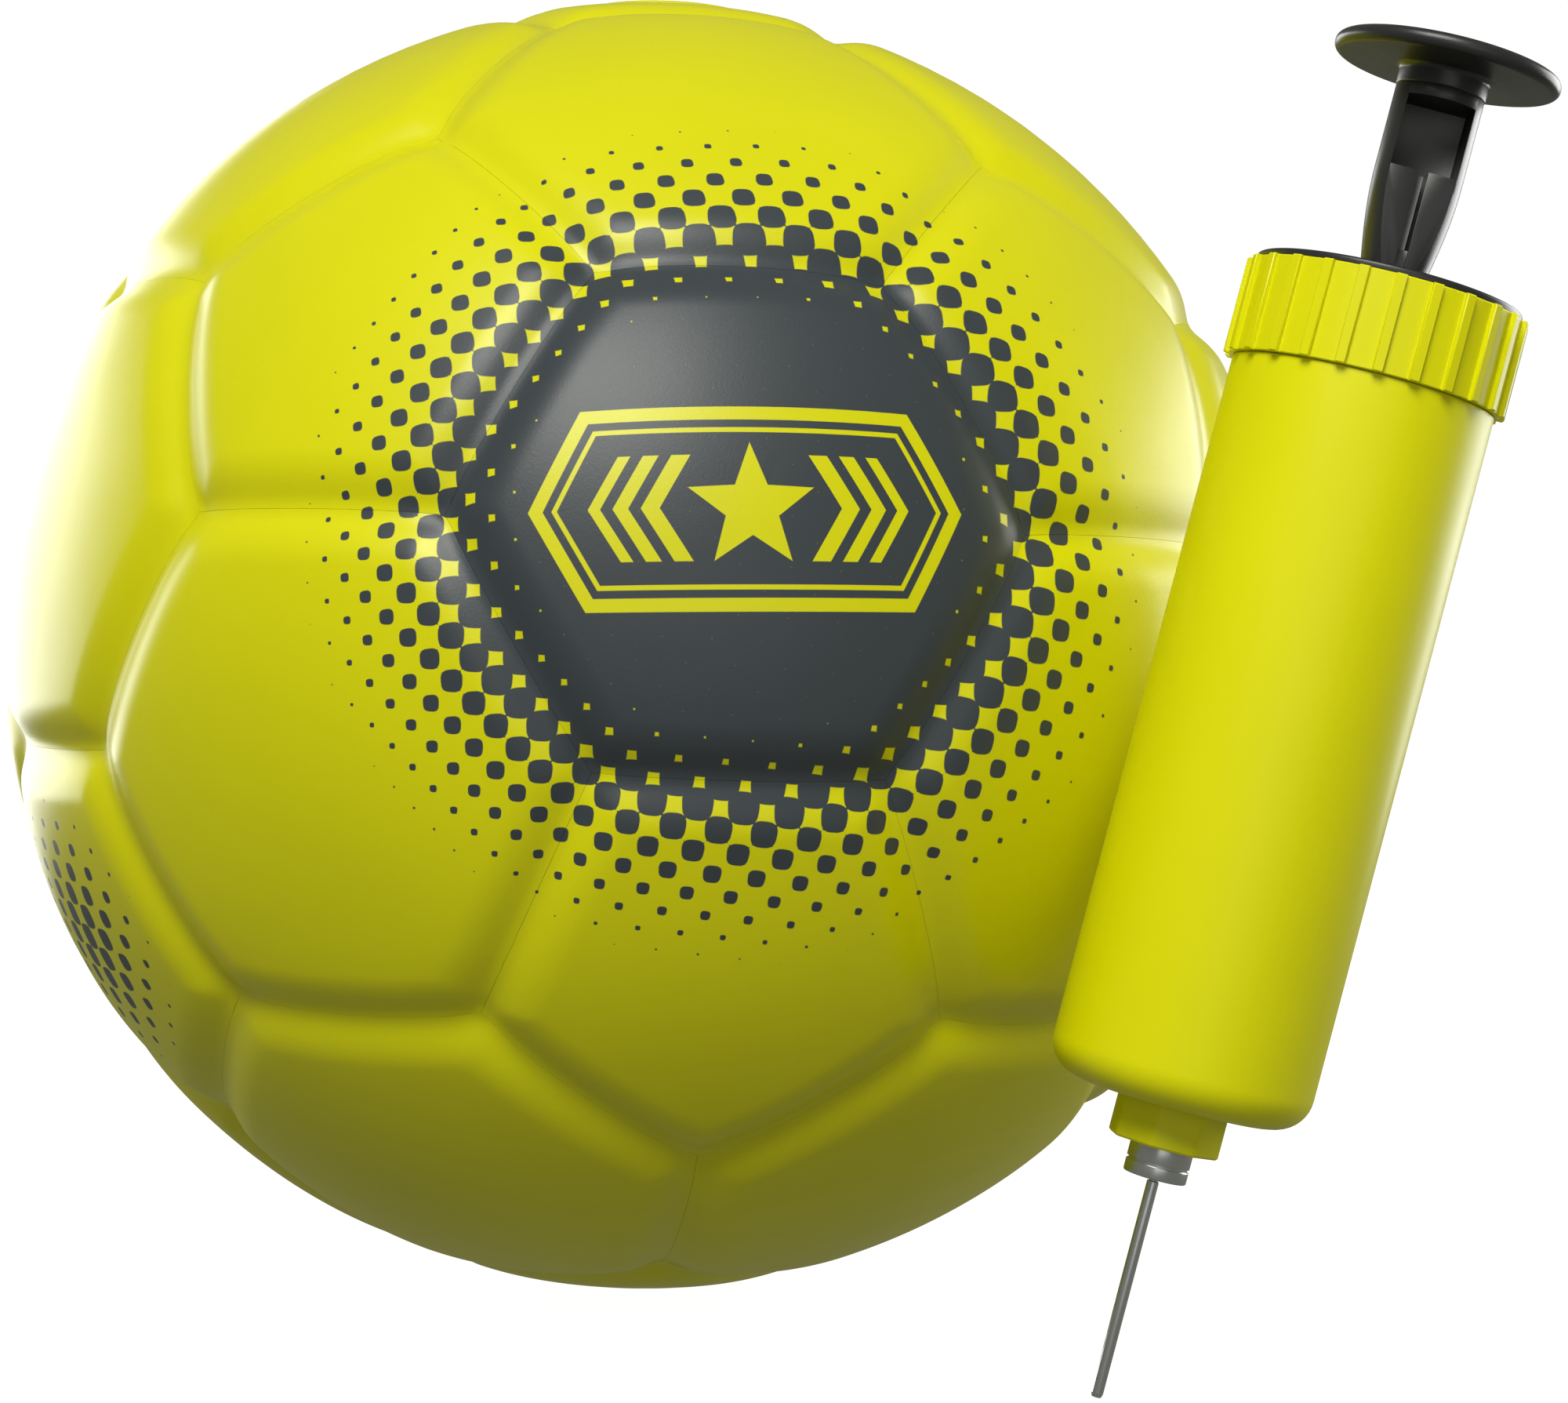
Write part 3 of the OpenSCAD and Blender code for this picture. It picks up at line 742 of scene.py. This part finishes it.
def plastic(name, colour, shade, roughness, grain_depth, flow=0.0, gloss_level=0.5):
    """Moulded plastic: a faint cloud of colour, a fine moulded grain, and scuffs in its gloss."""
    material, tree, shader = new_material(name)
    point = pump_point(tree)
    cloud = noise(tree, point, 35, 3)
    grain = noise(tree, point, 3200, 2)
    scuffs = noise(tree, point, 180, 6, (1, 1, 0.25))
    tree.links.new(mix_colours(tree, (cloud * 2.0 - 0.5).clamp(), colour, shade), shader.inputs["Base Color"])
    gloss = scuffs * 0.10 + cloud * 0.06 + (roughness - 0.08)
    tree.links.new(gloss.socket, shader.inputs["Roughness"])
    shader.inputs["Specular IOR Level"].default_value = gloss_level
    bump(tree, shader, grain + scuffs * flow, grain_depth * MM, 0.6)
    return material


def steel(name, axis, roughness=0.28):
    """Turned steel: fine lines round the axis."""
    material, tree, shader = new_material(name)
    height = along(tree, pump_point(tree), axis)
    lines = Value(tree, line_noise(tree, height))
    point = pump_point(tree)
    stain = noise(tree, point, 160, 3)
    tree.links.new(mix_colours(tree, stain, STEEL_DARK, STEEL_PALE), shader.inputs["Base Color"])
    tree.links.new((lines * 0.03 + stain * 0.04 + (roughness - 0.03)).socket, shader.inputs["Roughness"])
    shader.inputs["Metallic"].default_value = 1.0
    bump(tree, shader, lines, TURNING_DEPTH, 0.15)
    return material


def line_noise(tree, height):
    texture = tree.nodes.new("ShaderNodeTexNoise")
    texture.noise_dimensions = "1D"
    texture.inputs["Scale"].default_value = TURNING_LINES
    tree.links.new(height.socket, texture.inputs["W"])
    return texture.outputs[0]


def rubber(name, colour, roughness=0.62):
    return plastic(name, colour, tuple(c * 1.5 for c in colour), roughness, 0.02)


def woven_thread(name):
    """Thread wound round the carcass, held in a thin coat of latex."""
    material, tree, shader = new_material(name)
    point = object_point(tree, CENTRE)
    total = None
    for axis in THREAD_AXES:
        wave = (along(tree, point, axis) * THREAD_WAVE).do("SINE") * 0.5 + 0.5
        total = wave if total is None else total.most(wave)
    tree.links.new(mix_colours(tree, total, THREAD_DARK, THREAD_PALE), shader.inputs["Base Color"])
    shader.inputs["Roughness"].default_value = 0.7
    bump(tree, shader, total, 0.1 * MM)
    return material


YELLOW_PLASTIC = plastic(
    "yellow_plastic", (0.80, 0.78, 0.0), (0.76, 0.745, 0.0), 0.36, 0.015, flow=0.1, gloss_level=0.3
)
BLACK_PLASTIC = plastic(
    "black_plastic", (0.016, 0.017, 0.019), (0.021, 0.022, 0.024), 0.34, 0.008, flow=0.02, gloss_level=0.55
)
WHITE_PLASTIC = plastic("white_plastic", (0.72, 0.72, 0.69), (0.66, 0.66, 0.62), 0.45, 0.02)
HITCH_PLASTIC = plastic("hitch_plastic", (0.66, 0.645, 0.0), (0.60, 0.585, 0.0), 0.50, 0.03)
BLACK_RUBBER = rubber("black_rubber", (0.020, 0.020, 0.020))
VALVE_RUBBER = rubber("valve_rubber", (0.055, 0.055, 0.055), 0.55)
SEAL_RUBBER = rubber("seal_rubber", (0.025, 0.025, 0.025), 0.5)
NEEDLE_STEEL = steel("needle_steel", PUMP_AXIS)
PIN_STEEL = steel("pin_steel", (1, 0, 0), 0.24)
CARCASS_THREAD = woven_thread("carcass_thread")


# ---------------------------------------------------------------- the pump's pieces

def barrel():
    profile = rounded([
        (0, BARREL_Z, 0), (BARREL_R, BARREL_Z, BARREL_ROUND), (BARREL_R, SHOULDER_Z, 0.3),
        (NECK_R, SHOULDER_Z, 0.2), (NECK_R, NECK_TOP, 0.3), (BARREL_IN_R, NECK_TOP, 0.3),
        (BARREL_IN_R, BARREL_Z + BARREL_FLOOR, 1.0), (0, BARREL_Z + BARREL_FLOOR, 0),
    ], 10)
    piece = lathe("pump_barrel_tube", profile, PUMP, 128)
    dress(piece, YELLOW_PLASTIC, "pump_barrel", "pump_yellow", "pump_barrel")


def nozzle():
    """Eight-sided boss under the barrel, with a round socket for the needle."""
    def outline(inset):
        half_side = math.pi / NOZZLE_SIDES
        corner = (NOZZLE_R - inset) / math.cos(half_side)
        points = []
        for k in range(NOZZLE_SIDES):
            bearing = math.radians(NOZZLE_TURN) + 2 * half_side * k
            tip = Vector((corner * math.cos(bearing), corner * math.sin(bearing)))
            for step in (-1, -0.35, 0.35, 1):
                way = 1 if step > 0 else -1
                lean = bearing + math.pi / 2 * way + half_side * way
                side = Vector((math.cos(lean), math.sin(lean)))
                tuck = tip.normalized() * NOZZLE_TUCK * (1 - abs(step))
                points.append(tuple(tip + side * NOZZLE_EASE * abs(step) - tuck))
        return points
    levels = [(NOZZLE_Z, 0.3), (NOZZLE_Z + 0.3, 0), (BARREL_Z + 0.1, 0)]
    piece = prism_ring("pump_nozzle", outline, SOCKET_R, levels, PUMP)
    dress(piece, YELLOW_PLASTIC, "pump_barrel", "pump_yellow", "pump_barrel")


def collar():
    """Screw collar with square grip ribs."""
    def outline(inset):
        foot = math.asin((RIB_W / 2 + 0.1) / COLLAR_R)
        top = math.asin(RIB_W / 2 / COLLAR_R)
        crest = COLLAR_R + RIB_H
        side = [
            (foot + 0.012, COLLAR_R), (foot, COLLAR_R), (top, COLLAR_R + RIB_FOOT),
            (top, crest - RIB_EDGE), (top - 0.006, crest),
        ]
        rib = [(-bearing, r) for bearing, r in side] + [(0, crest)] + side[::-1]
        middles = [math.radians(RIB_TURN + 360 * k / RIBS) for k in range(RIBS)]
        return [
            ((r - inset) * math.cos(middle + bearing), (r - inset) * math.sin(middle + bearing))
            for middle in middles for bearing, r in rib
        ]
    levels = [(COLLAR_Z, 0.15), (COLLAR_Z + 0.15, 0), (COLLAR_TOP - 0.2, 0), (COLLAR_TOP, 0.2)]
    piece = prism_ring("pump_collar", outline, COLLAR_IN_R, levels, PUMP)
    dress(piece, YELLOW_PLASTIC, "end_cap", "pump_yellow", "collar")


def end_cap():
    plug_r = COLLAR_IN_R - 0.05
    profile = rounded([
        (BUSH_R, CAP_TOP, 0), (CAP_R - 1.6, CAP_TOP, 0.2), (CAP_R, CAP_TOP - 0.15, 0.5),
        (CAP_R, COLLAR_TOP, 0.15), (plug_r, COLLAR_TOP, 0), (plug_r, CAP_PLUG_Z, 0.2),
        (BUSH_R, CAP_PLUG_Z, 0),
    ])
    piece = lathe("pump_end_cap", profile, PUMP, 128, closed=True)
    dress(piece, BLACK_PLASTIC, "end_cap", "black_plastic", "end_cap")


def push_disc():
    """Round disc with a boss under it, hollow where the stem's peg goes in."""
    top, boss_z, peg_r = DISC_Z + DISC_T, DISC_Z - BOSS_H, STEM_R - 1
    profile = rounded([
        (0, boss_z + 4, 0), (peg_r, boss_z + 4, 0), (peg_r, boss_z, 0.1), (BOSS_R, boss_z, 0.3),
        (BOSS_R, DISC_Z, 0.9), (DISC_R, DISC_Z, 1.2), (DISC_R, top, 1.2), (0, top, 0),
    ], 8)
    piece = lathe("pump_push_disc", profile, PUMP, 128)
    dress(piece, BLACK_PLASTIC, "plunger", "black_plastic", "push_disc")


def box_between(name, low, high):
    """A box to cut with, in the pump's own axes in millimetres."""
    corners = [
        (x * MM, y * MM, z * MM)
        for x in (low[0], high[0]) for y in (low[1], high[1]) for z in (low[2], high[2])
    ]
    faces = [(0, 1, 3, 2), (4, 6, 7, 5), (0, 4, 5, 1), (2, 3, 7, 6), (0, 2, 6, 4), (1, 5, 7, 3)]
    return shape(name, corners, faces)


def cut(piece, tool):
    """Takes the tool's shape out of the piece for good."""
    modifier = piece.modifiers.new("cut", "BOOLEAN")
    modifier.operation = "DIFFERENCE"
    modifier.solver = "EXACT"
    modifier.object = tool
    keep_modifiers(piece)
    bpy.data.objects.remove(tool)


def keep_modifiers(piece):
    """Puts what the modifiers make into the mesh itself."""
    graph = bpy.context.evaluated_depsgraph_get()
    mesh = bpy.data.meshes.new_from_object(piece.evaluated_get(graph))
    piece.modifiers.clear()
    piece.data = mesh


def handle_stem():
    """Waisted stem with a window sunk in its flat front, and a groove that runs down from it."""
    taper = [
        (STEM_FOOT_R + (STEM_R - STEM_FOOT_R) * math.sin(math.pi / 2 * t), STEM_Z + TAPER_H * t)
        for t in np.linspace(0, 1, 15)
    ]
    boss_z, peg_r, peg_top = DISC_Z - BOSS_H, STEM_R - PEG_IN, DISC_Z + PEG_H
    peg = [(STEM_R, boss_z), (peg_r, boss_z), (peg_r, peg_top), (0, peg_top)]
    piece = lathe("pump_handle_stem", [(0, STEM_Z)] + taper + peg, Matrix.Identity(4), 96)
    window_z, front, low, half = STEM_Z + TAPER_H, -STEM_R - 1, STEM_Z - 1, GROOVE_W / 2
    for name, near, far in (
        ("window", (-WINDOW_W / 2, front, window_z), (WINDOW_W / 2, WINDOW_BACK, window_z + WINDOW_H)),
        ("flat", (front, front, low), (-front, STEM_FLAT, window_z + 0.01)),
        ("groove", (-half, front, STEM_Z + GROOVE_UP), (half, 0, window_z + 0.6)),
        ("shallow", (-half, front, low), (half, GROOVE_BACK, window_z)),
    ):
        cut(piece, box_between(name, near, far))
    edges = piece.modifiers.new("edges", "BEVEL")
    edges.width = STEM_EDGE * MM
    edges.segments = 2
    edges.limit_method = "ANGLE"
    edges.angle_limit = math.radians(40)
    keep_modifiers(piece)
    piece.data.transform(PUMP)
    piece.data.shade_smooth()
    piece.data.set_sharp_from_angle(angle=math.radians(35))
    dress(piece, BLACK_PLASTIC, "plunger", "black_plastic", "handle_stem")


def needle_hub():
    """Turned hub with a groove round it, and a ring-grooved stub that goes into the nozzle."""
    thread, root = [], STUB_R - THREAD_DEPTH
    turns = int(STUB_L / THREAD_PITCH) - 1
    for k in range(turns):
        z = HUB_TOP + 0.5 + THREAD_PITCH * k
        thread += [(root, z, 0), (STUB_R, z + THREAD_PITCH * 0.4, 0), (STUB_R, z + THREAD_PITCH * 0.55, 0)]
    groove_z, groove_r, end = HUB_Z + HUB_GROOVE_UP, HUB_R - HUB_GROOVE_IN, HUB_TOP + STUB_L - 0.3
    dish_z, groove_top = HUB_Z + 0.4, groove_z + HUB_GROOVE_W
    profile = rounded([
        (0, dish_z, 0), (HUB_DISH_R, dish_z, 0.1), (HUB_DISH_R + 0.4, HUB_Z, 0.15), (HUB_R, HUB_Z, 0.3),
        (HUB_R, groove_z, 0.1), (groove_r, groove_z, 0), (groove_r, groove_top, 0),
        (HUB_R, groove_top, 0.1), (HUB_R, HUB_TOP, 0.2), (root, HUB_TOP, 0), *thread,
        (root, end, 0), (0, end, 0),
    ], 4)
    piece = lathe("needle_hub_turned", profile, PUMP, 96)
    dress(piece, NEEDLE_STEEL, "needle", "steel", "needle_hub")


def needle_tube():
    """Round-tipped needle, drawn without its bore, with a thinner neck inside the hub."""
    neck_r, neck_top = NEEDLE_R - TUBE_NECK_IN, HUB_Z + TUBE_IN_HUB
    profile = rounded([
        (0, 0, 0), (NEEDLE_R - 0.2, 0, 0.08), (NEEDLE_R, 0.6, 0.5), (NEEDLE_R, HUB_Z - 0.6, 0.1),
        (neck_r, HUB_Z - 0.5, 0), (neck_r, neck_top, 0), (0, neck_top, 0),
    ], 4)
    piece = lathe("needle_tube_drawn", profile, PUMP, 48)
    dress(piece, NEEDLE_STEEL, "needle", "steel", "needle_tube")


barrel()
nozzle()
collar()
end_cap()
push_disc()
handle_stem()
needle_hub()
needle_tube()


# ---------------------------------------------------------------- the ball's fittings

def at_panel(name):
    return Matrix.Translation(CENTRE) @ PANELS[name][1].to_4x4()


HITCH_TOP = BALL_R / MM - 0.3
HITCH_IN_R, HITCH_OUT_R, HITCH_LIP_R, HITCH_LIP_T = 10, 12, 14, 1.6
HITCH_DEPTH, HITCH_FOOT = 13.7, 15.7
VALVE_TOP = BALL_R / MM - 0.4
VALVE_IN_R, VALVE_MOUTH_R, VALVE_OUT_R, VALVE_DEPTH = 2.62, 1.6, 4.4, 9


def hitch_cup():
    """Cup sunk in the top panel, with a rolled lip and a floor under the cross pin."""
    floor_z, foot_z, lip_z = HITCH_TOP - HITCH_DEPTH, HITCH_TOP - HITCH_FOOT, HITCH_TOP - HITCH_LIP_T
    profile = rounded([
        (0, floor_z, 0), (HITCH_IN_R, floor_z, 2.5), (HITCH_IN_R, HITCH_TOP, 0.8),
        (HITCH_LIP_R, HITCH_TOP, 0.8), (HITCH_LIP_R, lip_z, 0.2), (HITCH_OUT_R, lip_z, 0),
        (HITCH_OUT_R, foot_z, 1.5), (0, foot_z, 0),
    ])
    piece = lathe("hitch_cup_moulded", profile, at_panel(HITCH_PENT), 96)
    dress(piece, HITCH_PLASTIC, "ball", "hitch_plastic", "hitch_cup")


def valve_housing():
    """Rubber housing of the valve, with a dished mouth round the needle hole."""
    foot, mouth = VALVE_TOP - VALVE_DEPTH, VALVE_TOP - 0.6
    profile = rounded([
        (VALVE_IN_R, foot, 0), (VALVE_IN_R, mouth, 0), (VALVE_MOUTH_R, mouth, 0),
        (VALVE_MOUTH_R, VALVE_TOP - 0.35, 0.1), (VALVE_MOUTH_R + 1, VALVE_TOP, 0.2),
        (VALVE_OUT_R, VALVE_TOP, 0.4), (VALVE_OUT_R, foot, 0),
    ])
    piece = lathe("valve_housing_moulded", profile, at_panel(VALVE_HEX), 64, closed=True)
    dress(piece, BLACK_RUBBER, "ball", "black_rubber", "valve_housing")


def finish_cad_nodes():
    """The CAD nodes that stay in view get the looks of their slots."""
    looks = {
        "carcass": CARCASS_THREAD, "bladder": BLACK_RUBBER, "valve_plug": VALVE_RUBBER,
        "hitch_pin": PIN_STEEL, "cap_gasket": SEAL_RUBBER, "rod_bush": BLACK_PLASTIC,
        "plunger_rod": BLACK_PLASTIC,
        "piston_head": WHITE_PLASTIC, "cup_seal": SEAL_RUBBER, "piston_screw": NEEDLE_STEEL,
        "needle_seal": SEAL_RUBBER,
    }
    for node, material in looks.items():
        for slot in frame["nodes"][node].material_slots:
            slot.material = material


hitch_cup()
valve_housing()
finish_cad_nodes()
